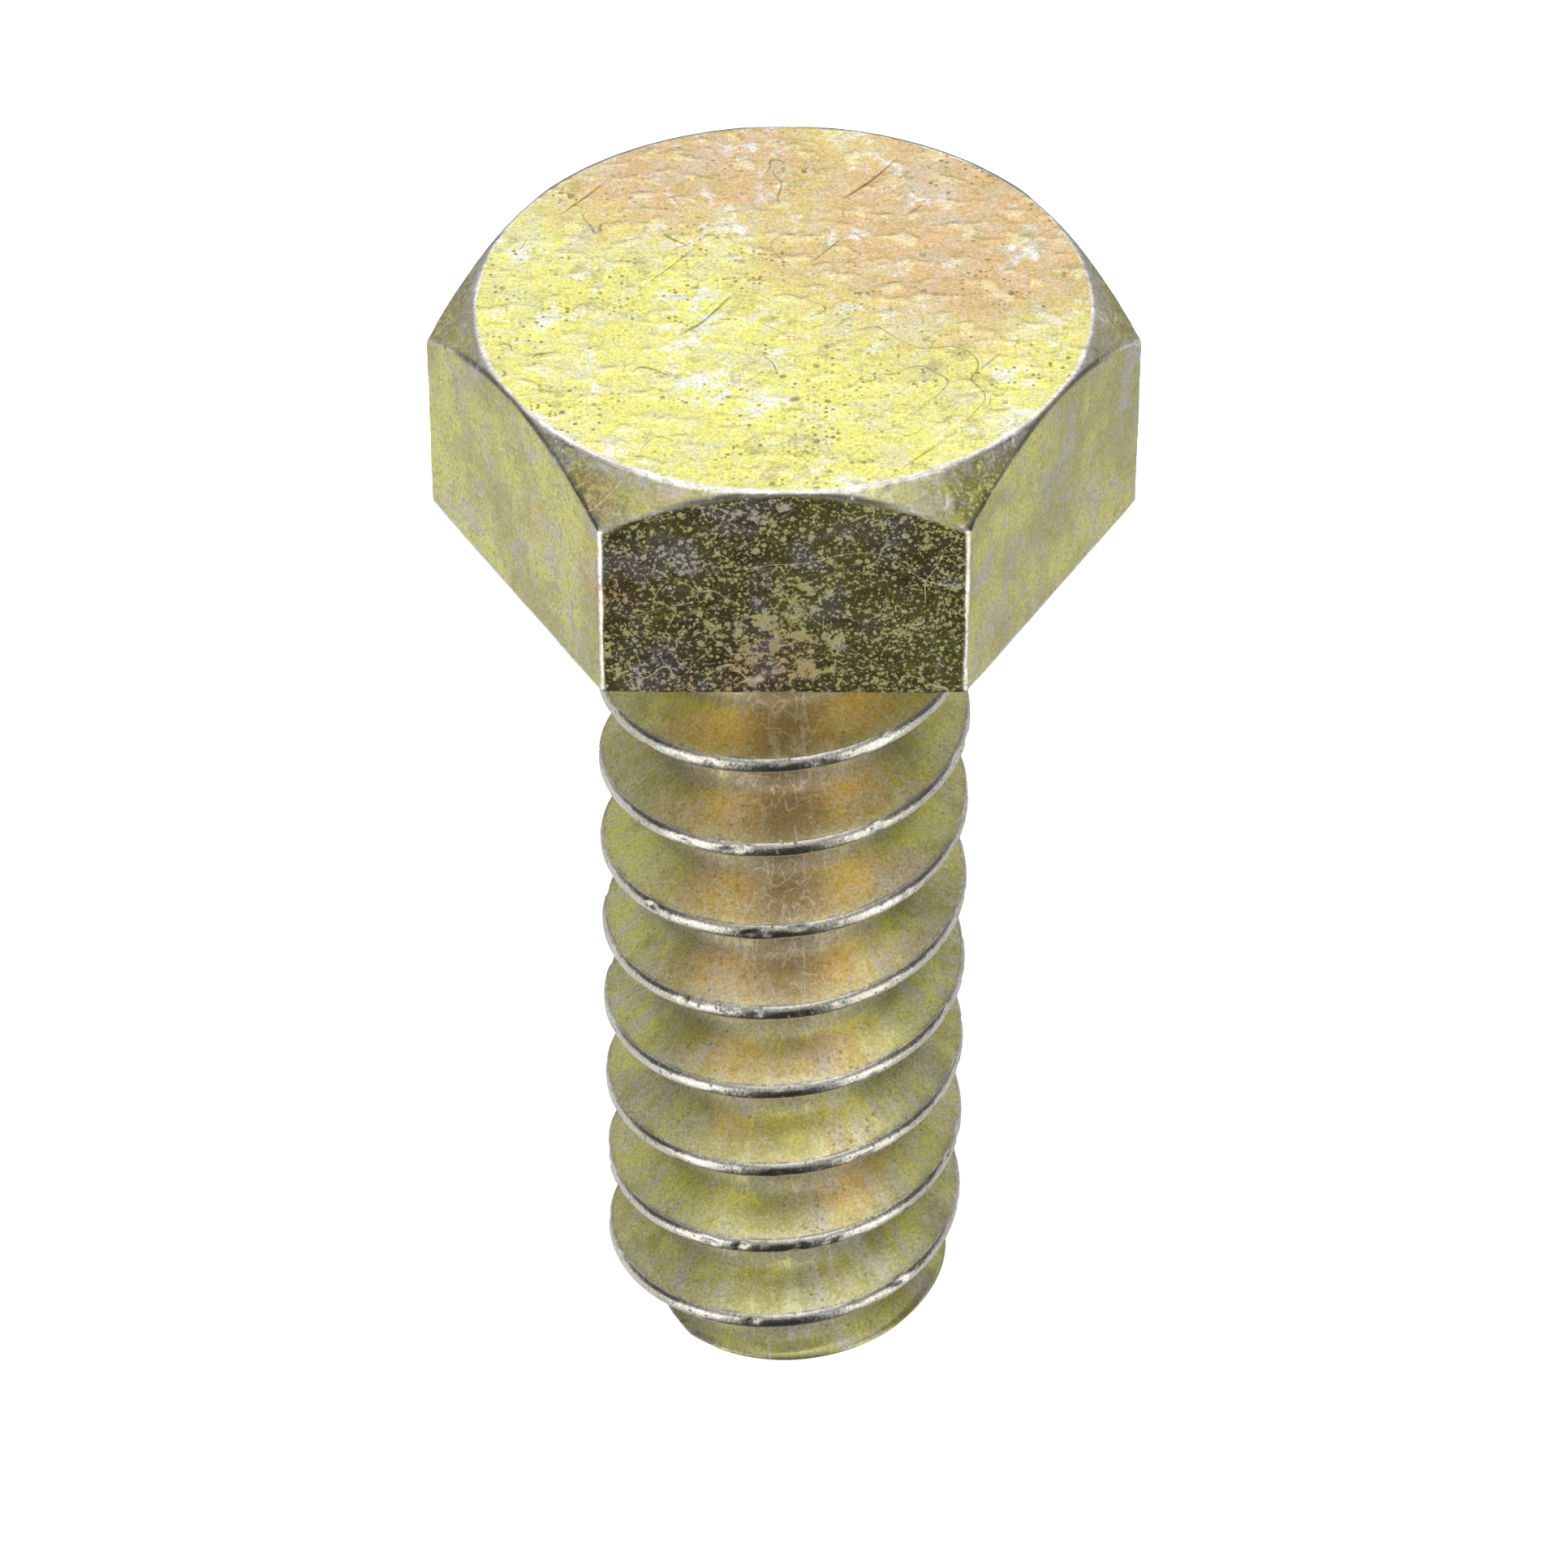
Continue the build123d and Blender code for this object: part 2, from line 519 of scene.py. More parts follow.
class Graph:
    """A node tree, with a short call for each kind of node used here."""

    def __init__(self, tree):
        self.tree = tree

    def add(self, kind, inputs, **settings):
        node = self.tree.nodes.new(kind)
        for name, value in settings.items():
            setattr(node, name, value)
        for key, value in inputs.items():
            if isinstance(value, bpy.types.NodeSocket):
                self.tree.links.new(value, node.inputs[key])
            else:
                node.inputs[key].default_value = value
        return node

    def math(self, operation, a, b=0.0):
        return self.add("ShaderNodeMath", {0: a, 1: b}, operation=operation).outputs[0]

    def stretch(self, vector, factors, turn=(0, 0, 0)):
        """Turns the coordinates, then scales them, so patterns become streaks."""
        turned = self.add("ShaderNodeMapping", {"Vector": vector, "Rotation": turn})
        scaled = self.add("ShaderNodeMapping", {"Vector": turned.outputs[0], "Scale": factors})
        return scaled.outputs[0]

    def shift(self, vector, offset):
        return self.add("ShaderNodeMapping", {"Vector": vector, "Location": offset}).outputs[0]

    def noise(self, vector, scale, detail=3.0, roughness=0.55, distortion=0.0):
        inputs = {"Vector": vector, "Scale": scale, "Detail": detail,
                  "Roughness": roughness, "Distortion": distortion}
        return self.add("ShaderNodeTexNoise", inputs).outputs["Fac"]

    def dots(self, vector, scale, share, size, ragged):
        """Dots of mixed sizes: share of the cells have one, up to size of a cell wide."""
        cells = self.add("ShaderNodeTexVoronoi", {"Vector": vector, "Scale": scale})
        chance = self.add("ShaderNodeSeparateColor", {0: cells.outputs["Color"]}).outputs[0]
        radius = self.step(chance, 1.0 - share, 1.0, size)
        rough_edge = self.math("MULTIPLY", self.math("SUBTRACT", ragged, 0.5), 0.5)
        away = self.math("ADD", cells.outputs["Distance"], rough_edge)
        return self.step(self.math("SUBTRACT", away, radius), 0.0, -0.06)

    def step(self, value, low, high, top=1.0):
        """Rises smoothly from 0 at low to top at high, or falls if low is above high."""
        flip = low > high
        inputs = {"Value": value, "From Min": min(low, high), "From Max": max(low, high),
                  "To Min": top if flip else 0.0, "To Max": 0.0 if flip else top}
        return self.add("ShaderNodeMapRange", inputs, interpolation_type="SMOOTHSTEP").outputs[0]

    def both(self, a, b):
        return self.math("MULTIPLY", a, b)

    def either(self, a, b):
        return self.math("MAXIMUM", a, b)

    def without(self, a, b):
        return self.math("MULTIPLY", a, self.math("SUBTRACT", 1.0, b))

    def mix(self, share, a, b):
        """a where share is 0, b where it is 1: colours."""
        node = self.add("ShaderNodeMix", {"Factor": share}, data_type="RGBA")
        for socket, value in ((node.inputs[6], a), (node.inputs[7], b)):
            if isinstance(value, bpy.types.NodeSocket):
                self.tree.links.new(value, socket)
            else:
                socket.default_value = (*value, 1.0)
        return node.outputs[2]

    def blend(self, share, a, b):
        """a where share is 0, b where it is 1: plain numbers."""
        return self.add("ShaderNodeMix", {0: share, 2: a, 3: b}, data_type="FLOAT").outputs[0]

    def attribute(self, name):
        return self.add("ShaderNodeAttribute", {}, attribute_name=name).outputs["Fac"]


class Surface:
    """Layers of colour, roughness and metal, each covering part of the last."""

    def __init__(self, graph, colour, roughness, metallic):
        self.graph = graph
        self.colour = colour
        self.roughness = roughness
        self.metallic = metallic

    def cover(self, share, colour, roughness=None, metallic=None):
        g = self.graph
        self.colour = g.mix(share, self.colour, colour)
        if roughness is not None:
            self.roughness = g.blend(share, self.roughness, roughness)
        if metallic is not None:
            self.metallic = g.blend(share, self.metallic, metallic)


LEMON = (0.88, 0.86, 0.24)
OLIVE = (0.58, 0.55, 0.20)
LILAC = (0.72, 0.69, 0.68)
TAN = (0.72, 0.49, 0.25)
# A painted highlight colour: gold reflections on the thread, and the lift on its first turn.
GOLD_HIGHLIGHT = (0.94, 0.69, 0.21)
CHALK = (0.97, 0.96, 0.93)
CHIP = (0.74, 0.71, 0.31)
ZINC = (0.92, 0.90, 0.84)
DULL_ZINC = (0.70, 0.67, 0.56)
SOOT = (0.40, 0.38, 0.33)
GRIME = (0.26, 0.24, 0.12)
OLIVE_STAIN = (0.55, 0.52, 0.20)
ROOT_GREY = (0.60, 0.56, 0.48)
# Used for polished streaks, and for painted light near the crest.
POLISH_AND_SHEEN = (0.88, 0.85, 0.48)
SPARKLE = (0.92, 0.88, 0.66)
HAIR = (0.84, 0.76, 0.58)
# A painted shade colour: the dark reflection down the front of the thread.
SPINE_SHADE_BROWN = (0.46, 0.34, 0.17)
# A painted shade colour, for the arcs near the top.
ARC_SHADE = (0.13, 0.12, 0.10)
# A painted highlight colour, for the top's ridges.
RIDGE_HIGHLIGHT = (0.97, 0.88, 0.50)

# Noise scales, in features per metre.
SCALE = SimpleNamespace(
    stain=240,
    broad=300,
    crowd=420,
    middle=650,
    ripple=900,
    olive=1000,
    scuffs=1100,
    streak=1500,
    wavy=1700,
    chips=1900,
    groove=1900,
    ridge=1900,
    pale=2400,
    fine=2600,
    sparkle=6000,
    speckle=9500,
    grain=12000,
)

# Sizes of dots, in cells per metre.
DOTS = SimpleNamespace(blot=900, large=2000, medium=3600, chip=4300, small=6500, tiny=7600)

BUMP_STRENGTH = 0.7
BUMP_DEPTH = 0.02 * MM

# Heights and widths that part the top, the thread and the front flat from the rest.
TOP_START = (HEAD_HEIGHT - 0.10 * MM, HEAD_HEIGHT - 0.03 * MM)
THREAD_START = (-0.05 * MM, -0.45 * MM)
BESIDE_FRONT = (4.8 * MM, 5.4 * MM)
STREAK_RADIUS = 4.3 * MM
TAN_LEFT_REACH = 3.9 * MM
TAN_RIGHT_REACH = 5.1 * MM

# The tan stripe down the front of the thread, which narrows below a depth.
STRIPE_FADE = 13.0 * MM
STRIPE_EDGE = (2.3 * MM, 4.0 * MM)
STRIPE_SWAY = 5.0 * MM
# Painted highlights: the gold bands below stand in for light reflected from the thread.
GOLD_INNER = (0.7 * MM, 1.6 * MM)      # gold bands either side of its middle
GOLD_OUTER = (3.2 * MM, 2.0 * MM)

# Heights on the thread.
FIRST_TURN = (-4.6 * MM, -2.8 * MM)
ROOT_GREY_START = (-2.8 * MM, -4.2 * MM)
PALE_START = (-9.0 * MM, -14.0 * MM)

# The brown spine down the stripe's middle, painted shade standing in for a dark reflection, and the
# strip that holds most hairs.
SPINE_SWAY = 2.2 * MM
SPINE_EDGE = (1.1 * MM, 0.2 * MM)
SPINE_FRONT = (-2.0 * MM, -3.0 * MM)
SPINE_END = (-17.0 * MM, -10.0 * MM)
HAIR_FRONT = (-2.6 * MM, -3.8 * MM)
HAIR_END = (-19.0 * MM, -12.0 * MM)

# Places of single marks, in millimetres.
TAN_TOP_LEFT = (-2.2, 6.6, 6.4)
TAN_TOP_RIGHT = (4.6, 3.6, 6.4)
TAN_THREAD_RIGHT = (1.8, -3.8, -20.6)
TAN_THREAD_LEFT = (-1.6, -4.0, -17.4)
BROWN_FLAT_LOW = (-0.4, -8.0, 0.7)
BROWN_FLAT_LEFT = (-4.2, -8.0, 3.4)
BROWN_FLAT_MIDDLE = (0.0, -8.0, 3.2)
CHIPPED_FLAT = (0.0, -8.0, 2.0)


def scratches(g, place, scale, width, seed, kept_from=0.60):
    """Thin curved lines, broken into short lengths."""
    line = g.noise(g.shift(place, (seed, -seed, seed)), scale, 1.0, 0.4)
    near = g.math("ABSOLUTE", g.math("SUBTRACT", line, 0.5))
    kept = g.noise(g.shift(place, (-seed, seed, 0.5)), scale * 1.6, 1.0)
    return g.both(g.step(near, width, 0.0), g.step(kept, kept_from, kept_from + 0.06))


def distance_from(g, place, centre):
    """Distance in metres from a place given in millimetres."""
    node = g.add("ShaderNodeVectorMath", {0: place, 1: Vector(centre) * MM}, operation="DISTANCE")
    return node.outputs["Value"]


def patch(g, place, centre, radius):
    """1 at a place on the surface, fading to 0 at radius, in millimetres."""
    return g.step(distance_from(g, place, centre), radius * MM, 0.0)


def sway(g, noise_value, amount):
    """A noise turned into a shift either way of zero."""
    return g.math("MULTIPLY", g.math("SUBTRACT", noise_value, 0.5), amount)


def survey(g):
    """Where each part of the bolt is, and the noises every layer shares."""
    s = SimpleNamespace()
    s.place = g.add("ShaderNodeTexCoord", {}).outputs["Object"]
    s.x, s.y, s.z = g.add("ShaderNodeSeparateXYZ", {0: s.place}).outputs
    outward = g.add("ShaderNodeCombineXYZ", {0: s.x, 1: s.y}).outputs[0]
    outward = g.add("ShaderNodeVectorMath", {0: outward}, operation="NORMALIZE").outputs[0]
    ring = {0: outward, "Scale": STREAK_RADIUS}
    s.round = g.add("ShaderNodeVectorMath", ring, operation="SCALE").outputs[0]
    drift = g.stretch(s.place, (0.12, 0.12, 0.35))
    s.round = g.add("ShaderNodeVectorMath", {0: s.round, 1: drift}, operation="ADD").outputs[0]
    s.wear = g.attribute("wear")
    s.crest = g.attribute("crest")
    s.top = g.step(s.z, *TOP_START)
    s.thread = g.step(s.z, *THREAD_START)
    s.side = g.without(g.math("SUBTRACT", 1.0, s.top), s.thread)
    s.broad = g.noise(s.place, SCALE.broad, 4, 0.65, 0.3)
    s.middle = g.noise(g.shift(s.place, (0.3, 0, 0)), SCALE.middle, 5, 0.72, 0.3)
    s.scuffs = g.noise(g.shift(s.place, (0, 0, 0.7)), SCALE.scuffs, 5, 0.78)
    s.fine = g.noise(s.place, SCALE.fine, 4, 0.75)
    s.grain = g.noise(s.place, SCALE.grain, 2, 0.8)
    slanting = g.stretch(s.place, (0.14, 1.0, 1.0), (0, 0, -0.90))
    grooves = g.noise(slanting, SCALE.groove, 1, 0.4, 0.25)
    s.groove = g.both(s.top, g.step(grooves, 0.68, 0.80))
    sideways = g.stretch(g.shift(s.place, (0, 0.6, 0)), (0.72, 1.0, 1.0))
    s.ridge = g.noise(sideways, SCALE.ridge, 1.6, 0.5)
    return s


def tan_on_top(g, s):
    """The back of the top, in two patches that run into each other."""
    left = g.math("DIVIDE", distance_from(g, s.place, TAN_TOP_LEFT), TAN_LEFT_REACH)
    right = g.math("DIVIDE", distance_from(g, s.place, TAN_TOP_RIGHT), TAN_RIGHT_REACH)
    near = g.math("ADD", g.math("MINIMUM", left, right), sway(g, s.broad, 1.3))
    near = g.math("ADD", near, sway(g, s.middle, 0.9))
    return g.both(s.top, g.step(near, 1.45, 0.50))


def tan_on_thread(g, s):
    """A stripe down the front, fading below the middle of the shank."""
    fade = g.math("MULTIPLY", g.math("MINIMUM", g.math("ADD", s.z, STRIPE_FADE), 0.0), 0.25)
    front = g.math("ADD", g.math("SUBTRACT", fade, s.y), sway(g, s.middle, STRIPE_SWAY))
    stripe = g.step(front, *STRIPE_EDGE)
    stripe = g.either(stripe, patch(g, s.place, TAN_THREAD_RIGHT, 2.6))
    stripe = g.either(stripe, patch(g, s.place, TAN_THREAD_LEFT, 2.2))
    return g.both(s.thread, stripe)


def tan_on_flats(g, s):
    """Brown stains here and there, and two on the front flat."""
    stains = g.step(g.noise(g.shift(s.place, (0, 0.3, 0)), SCALE.stain, 3, 0.6), 0.60, 0.72)
    stains = g.either(stains, patch(g, s.place, BROWN_FLAT_LOW, 3.0))
    stains = g.either(stains, g.both(patch(g, s.place, BROWN_FLAT_MIDDLE, 8.0), 0.30))
    return g.either(stains, patch(g, s.place, BROWN_FLAT_LEFT, 1.8))


def lay_plating(g, s, tan_front, tan_side):
    """Yellow chromate, tan where it is thick and lilac grey where it is thin, with painted gold
    highlights and painted light on the thread's front.
    """
    roughness = g.math("ADD", g.blend(s.middle, 0.18, 0.44), g.math("MULTIPLY", s.thread, 0.10))
    plating = Surface(g, g.mix(g.step(s.broad, 0.42, 0.60), OLIVE, LEMON), roughness, 1.0)
    plating.cover(g.both(s.top, 0.85), LEMON)
    tan = g.either(g.either(tan_on_top(g, s), tan_front), g.both(s.side, tan_side))
    plating.cover(g.both(tan, g.blend(s.top, 0.80, 0.92)), TAN)
    # Painted highlights: gold bands either side of the stripe's middle, standing in for reflected
    # light.
    sideways = g.math("ABSOLUTE", s.x)
    gold_highlight = g.both(g.step(sideways, *GOLD_INNER), g.step(sideways, *GOLD_OUTER))
    gold_highlight = g.both(tan_front, g.both(gold_highlight, g.step(s.fine, 0.34, 0.54)))
    plating.cover(gold_highlight, GOLD_HIGHLIGHT)
    # Painted light: the first turn lies in shade under the head, so it is painted bright gold and
    # made less metallic to lift it.
    first_turn = g.step(s.z, *FIRST_TURN)
    plating.cover(g.both(g.both(tan_front, first_turn), 0.85), GOLD_HIGHLIGHT, 0.30, 0.25)
    thin = g.step(s.middle, 0.50, 0.62)
    plating.cover(g.both(thin, g.blend(s.side, 0.34, 0.56)), LILAC)
    thin_fine = g.step(s.fine, 0.46, 0.62)
    plating.cover(g.both(thin_fine, g.blend(s.side, 0.30, 0.36)), LILAC)
    return plating


def wear_top(g, s, plating):
    """Painted highlights on the ridges, chalky rubbed patches, olive stains, specks and hair
    scratches.
    """
    # Painted highlight: cream on the wrinkles' ridges, standing in for light caught by the bumps.
    plating.cover(g.both(s.top, g.step(s.ridge, 0.57, 0.68, 0.50)), RIDGE_HIGHLIGHT)
    rubbed = g.step(g.math("ADD", s.broad, sway(g, s.scuffs, 1.0)), 0.53, 0.68)
    rubbed = g.both(g.both(s.top, rubbed), g.step(s.fine, 0.42, 0.56))
    plating.cover(g.both(rubbed, 0.85), CHALK, 0.35, 0.9)
    stain = g.noise(g.shift(s.place, (0.5, 0, 0)), SCALE.olive, 6, 0.8)
    stain = g.step(stain, 0.53, 0.66)
    plating.cover(g.both(s.top, g.both(stain, 0.60)), OLIVE_STAIN, 0.5, 0.8)
    crowd = g.step(g.noise(g.shift(s.place, (0.7, 0, 0)), SCALE.crowd, 5, 0.75), 0.46, 0.60)
    specks = g.both(g.dots(s.place, DOTS.small, 0.65, 0.42, s.fine), g.blend(crowd, 0.15, 1.0))
    specks = g.either(specks, g.both(g.dots(s.place, DOTS.medium, 0.45, 0.34, s.fine), crowd))
    blots = g.dots(g.stretch(s.place, (0.6, 1.0, 1.0)), DOTS.blot, 0.14, 0.20, s.fine)
    specks = g.either(specks, blots)
    hairs = g.either(scratches(g, s.place, 330, 0.004, 0.9, 0.56),
                     scratches(g, s.place, 520, 0.006, 1.7, 0.58))
    marks = g.either(g.both(specks, 0.70), g.both(hairs, 0.70))
    plating.cover(g.both(s.top, marks), GRIME, 0.6, 0.6)


def wear_flats(g, s, plating, tan_side):
    """Matt speckles, chips and light scratches on the flats and the chamfer."""
    crowd = sway(g, s.scuffs, 0.5)
    # Turned, so that no face of the head lies along the noise's own grid.
    turned = g.stretch(s.place, (1.0, 1.0, 1.0), (0.5, 0.4, 0.3))
    speckle = g.noise(turned, SCALE.speckle, 3, 0.7)
    matt = g.step(g.math("ADD", speckle, crowd), 0.55, 0.61)
    ragged = g.math("SUBTRACT", g.math("MULTIPLY", speckle, 2.4), 0.7)
    matt = g.either(matt, g.dots(turned, DOTS.tiny, 0.52, 0.42, ragged))
    matt = g.either(matt, g.dots(g.shift(s.place, (0.1, 0, 0)), DOTS.chip, 0.34, 0.42, ragged))
    matt = g.either(matt, g.dots(g.stretch(s.place, (0.7, 1.0, 1.2)), DOTS.large, 0.12, 0.32, ragged))
    matt = g.either(matt, scratches(g, s.place, 1700, 0.016, 3.1, 0.56))
    chips = g.noise(g.shift(s.place, (0.2, 0, 0.2)), SCALE.chips, 6, 0.76, 0.3)
    chipped = patch(g, s.place, CHIPPED_FLAT, 3.4)
    chips = g.math("ADD", chips, g.math("MULTIPLY", chipped, 0.13))
    matt = g.either(matt, g.step(chips, 0.62, 0.66))
    colour = g.mix(g.step(s.middle, 0.50, 0.62), CHIP, LILAC)
    colour = g.mix(g.both(tan_side, 0.7), colour, TAN)
    matt = g.both(s.side, g.both(matt, 0.85))
    plating.cover(matt, colour, 0.62, 0.25)
    lines = g.either(scratches(g, s.place, 330, 0.004, 0.9, 0.54),
                     scratches(g, s.place, 620, 0.007, 1.7, 0.55))
    lines = g.either(lines, scratches(g, s.place, 260, 0.003, 2.6, 0.50))
    plating.cover(g.both(lines, g.both(s.side, 0.8)), SPARKLE, 0.6, 0.3)
    soft = g.both(g.attribute("rim"), g.step(s.fine, 0.30, 0.60))
    plating.cover(g.both(soft, 0.75), LILAC, 0.45, 0.8)


def wear_thread(g, s, plating):
    """A greyer band in the root, polished streaks, painted light and sparkle near the crest, specks,
    a painted dark reflection down the front, and hairs.
    """
    # A greyer band in the root, kept off the first turn under the head.
    root_grey = g.both(g.step(s.crest, 0.26, 0.00, 0.50), g.step(s.z, *ROOT_GREY_START))
    plating.cover(g.both(s.thread, root_grey), ROOT_GREY, 0.85)
    streak = g.noise(s.round, SCALE.streak, 4, 0.6)
    plating.cover(g.both(s.thread, g.step(streak, 0.54, 0.66, 0.40)), POLISH_AND_SHEEN, 0.30)
    plating.cover(g.both(s.thread, g.step(streak, 0.44, 0.34, 0.35)), OLIVE, 0.50)
    pale = g.noise(g.shift(s.round, (0.3, 0, 0)), SCALE.pale, 4, 0.65)
    pale = g.both(g.step(pale, 0.53, 0.63, 0.55), g.step(s.z, *PALE_START))
    plating.cover(g.both(s.thread, pale), LILAC)
    # Painted light: the flanks lighter towards the crest, where less of them lies in shade.
    lit_near_crest = g.step(g.math("ADD", s.crest, sway(g, s.fine, 1.0)), 0.62, 1.0)
    plating.cover(g.both(g.both(s.thread, lit_near_crest), 0.35), POLISH_AND_SHEEN, 0.4)
    sparkle = g.noise(g.shift(s.place, (0.4, 0.4, 0)), SCALE.sparkle, 4, 0.8)
    sparkle = g.math("ADD", sparkle, sway(g, s.scuffs, 0.6))
    sparkle = g.both(g.step(sparkle, 0.58, 0.66), g.step(s.crest, 0.10, 0.60))
    plating.cover(g.both(s.thread, g.both(sparkle, 0.60)), SPARKLE, 0.5, 0.7)
    specks = g.both(g.dots(s.place, DOTS.small, 0.45, 0.42, s.fine), g.step(s.middle, 0.42, 0.58))
    plating.cover(g.both(s.thread, g.both(specks, 0.45)), GRIME, 0.6, 0.7)
    # Painted shade: a brown spine down the front between the gold highlights, standing in for a dark
    # reflection.
    spine = g.math("ADD", g.math("ABSOLUTE", s.x), sway(g, s.scuffs, SPINE_SWAY))
    spine = g.both(g.step(spine, *SPINE_EDGE), g.step(s.z, *SPINE_END))
    spine = g.both(spine, g.step(s.y, *SPINE_FRONT))
    plating.cover(g.both(s.thread, g.both(spine, 0.62)), SPINE_SHADE_BROWN, 0.5)
    middle_strip = g.both(g.step(s.y, *HAIR_FRONT), g.step(s.z, *HAIR_END))
    hairs = g.either(scratches(g, s.round, 1500, 0.026, 3.3, 0.48),
                     scratches(g, g.stretch(s.place, (1.3, 0.5, 0.5)), 1300, 0.024, 5.2, 0.48))
    hairs = g.either(hairs, scratches(g, g.shift(s.place, (0, 0.2, 0)), 900, 0.018, 4.1, 0.48))
    hairs = g.either(hairs, scratches(g, g.shift(s.place, (0.2, 0.2, 0)), 1900, 0.030, 2.2, 0.48))
    hairs = g.both(g.both(s.thread, hairs), g.blend(middle_strip, 0.14, 0.80))
    plating.cover(hairs, HAIR, 0.5, 0.7)


def bare_edges(g, s, plating):
    """Bare zinc on the arrises, the crest and the tip, with painted shade along the arcs. Returns
    where the bare zinc is.
    """
    ragged = g.both(sway(g, s.fine, 1.0), g.blend(s.thread, 0.5, 1.0))
    bare = g.step(g.math("ADD", s.wear, ragged), 0.45, 0.75)
    plating.cover(bare, g.mix(g.step(s.middle, 0.40, 0.60), DULL_ZINC, ZINC), 0.24, 1.0)
    plating.cover(g.both(bare, g.both(s.thread, 0.45)), DULL_ZINC)
    border = g.both(g.step(s.wear, 0.02, 0.25), g.step(s.wear, 0.85, 0.45))
    border = g.both(g.both(s.thread, border), g.step(s.scuffs, 0.46, 0.56))
    plating.cover(g.both(border, 0.75), SOOT, 0.5, 0.8)
    pits = g.dots(s.place, DOTS.small, 0.5, 0.40, s.fine)
    plating.cover(g.both(bare, g.both(pits, g.blend(s.thread, 0.30, 0.80))), SOOT, 0.6, 0.5)
    # Painted shade: charcoal along the arcs near the top, standing in for the dark they show.
    arc = g.both(g.attribute("arc"), g.step(s.scuffs, 0.34, 0.50))
    plating.cover(g.both(arc, 0.90), ARC_SHADE, 0.6, 0.5)
    return bare


def relief(g, s, bare):
    """The surface's small bumps: ripples, wrinkles, grooves and roughened edges."""
    ripple = g.noise(g.stretch(s.place, (0.45, 1.0, 1.0)), SCALE.ripple, 2, 0.5)
    wrinkle = g.without(g.step(s.ridge, 0.46, 0.74), s.thread)
    height = g.math("ADD", g.math("MULTIPLY", s.fine, 0.35), ripple)
    height = g.math("ADD", height, g.math("MULTIPLY", wrinkle, 1.15))
    height = g.math("ADD", height, g.math("MULTIPLY", s.grain, 0.12))
    height = g.math("SUBTRACT", height, g.math("MULTIPLY", s.groove, 1.6))
    upright = g.stretch(g.shift(s.place, (0.9, 0, 0)), (1.0, 1.0, 0.16))
    wavy = g.noise(upright, SCALE.wavy, 1, 0.4, 0.3)
    beside_front = g.step(g.math("ABSOLUTE", s.x), *BESIDE_FRONT)
    wavy = g.both(g.both(s.side, beside_front), g.step(wavy, 0.58, 0.68))
    height = g.math("SUBTRACT", height, g.math("MULTIPLY", wavy, 1.3))
    rough_crest = g.both(s.thread, g.both(bare, s.fine))
    height = g.math("ADD", height, g.math("MULTIPLY", rough_crest, 1.2))
    bump = g.add("ShaderNodeBump", {
        "Height": height,
        "Strength": BUMP_STRENGTH,
        "Distance": BUMP_DEPTH,
    })
    return bump.outputs[0]


def plated_metal():
    """Worn yellow chromate over zinc plate."""
    material = bpy.data.materials.new("worn_yellow_zinc")
    material.use_nodes = True
    g = Graph(material.node_tree)
    shader = material.node_tree.nodes["Principled BSDF"]
    s = survey(g)
    tan_front = tan_on_thread(g, s)
    tan_side = tan_on_flats(g, s)
    plating = lay_plating(g, s, tan_front, tan_side)
    wear_top(g, s, plating)
    wear_flats(g, s, plating, tan_side)
    wear_thread(g, s, plating)
    bare = bare_edges(g, s, plating)
    darkest, spread = 0.35, 1.3
    shade = g.math("ADD", darkest, g.math("MULTIPLY", s.grain, spread))
    shaded = {0: plating.colour, "Scale": shade}
    colour = g.add("ShaderNodeVectorMath", shaded, operation="SCALE").outputs[0]
    for key, value in (("Base Color", colour), ("Roughness", plating.roughness),
                       ("Metallic", plating.metallic), ("Normal", relief(g, s, bare))):
        material.node_tree.links.new(value, shader.inputs[key])
    return material


# ---------------------------------------------------------------- stage

FLOOR_HALF = 6.0
FLOOR_GLOW = 0.75

# The studio's even light, and how bright the camera sees its backdrop.
WORLD_LEVEL = 0.42
BACKDROP_LEVEL = 1.1

# Bright panels: direction, edge and middle in degrees, and the light each adds.
BRIGHT_PANELS = (
    ((0, 0.60, 0.80), 38, 5, 0.86),
    ((0, -0.64, 0.77), 40, 15, 0.64),
    ((0, -0.10, 1.00), 38, 15, 0.45),
    ((-0.66, -0.58, -0.48), 34, 10, 1.15),
    ((0.66, -0.58, -0.48), 34, 10, 1.05),
    ((-0.66, 0.38, -0.64), 40, 15, 0.29),
    ((0.66, 0.38, -0.64), 40, 15, 0.18),
)

# Dark panels: direction, edge and middle in degrees, and the share each takes away.
DARK_PANELS = (
    ((0, -0.77, -0.64), 40, 14, 0.905),
    ((0, -0.25, -0.97), 38, 12, 0.75),
    ((-0.97, -0.22, -0.14), 24, 8, 0.75),
    ((0.97, -0.22, -0.14), 24, 8, 0.75),
    ((0, 0.95, -0.30), 32, 10, 0.70),
    ((-0.93, -0.05, 0.20), 36, 15, 0.68),
    ((0.88, -0.14, 0.38), 42, 15, 0.64),
)

SOFT_BOX_SIZE = (0.05, 0.16)
SOFT_BOX_POWER = 0.02
SOFT_BOX_DISTANCE = 0.3

# The camera: a long lens above the front flat.
LENS_MM = 159.39
SENSOR_MM = 36.0
CLIP_NEAR = 0.005
CLIP_FAR = 50.0
CAMERA_DISTANCE = 11.7595 * ACROSS_FLATS
CAMERA_ELEVATION = math.radians(39.9386)
CAMERA_TARGET = Vector((0, 0, -0.605 * ACROSS_FLATS))


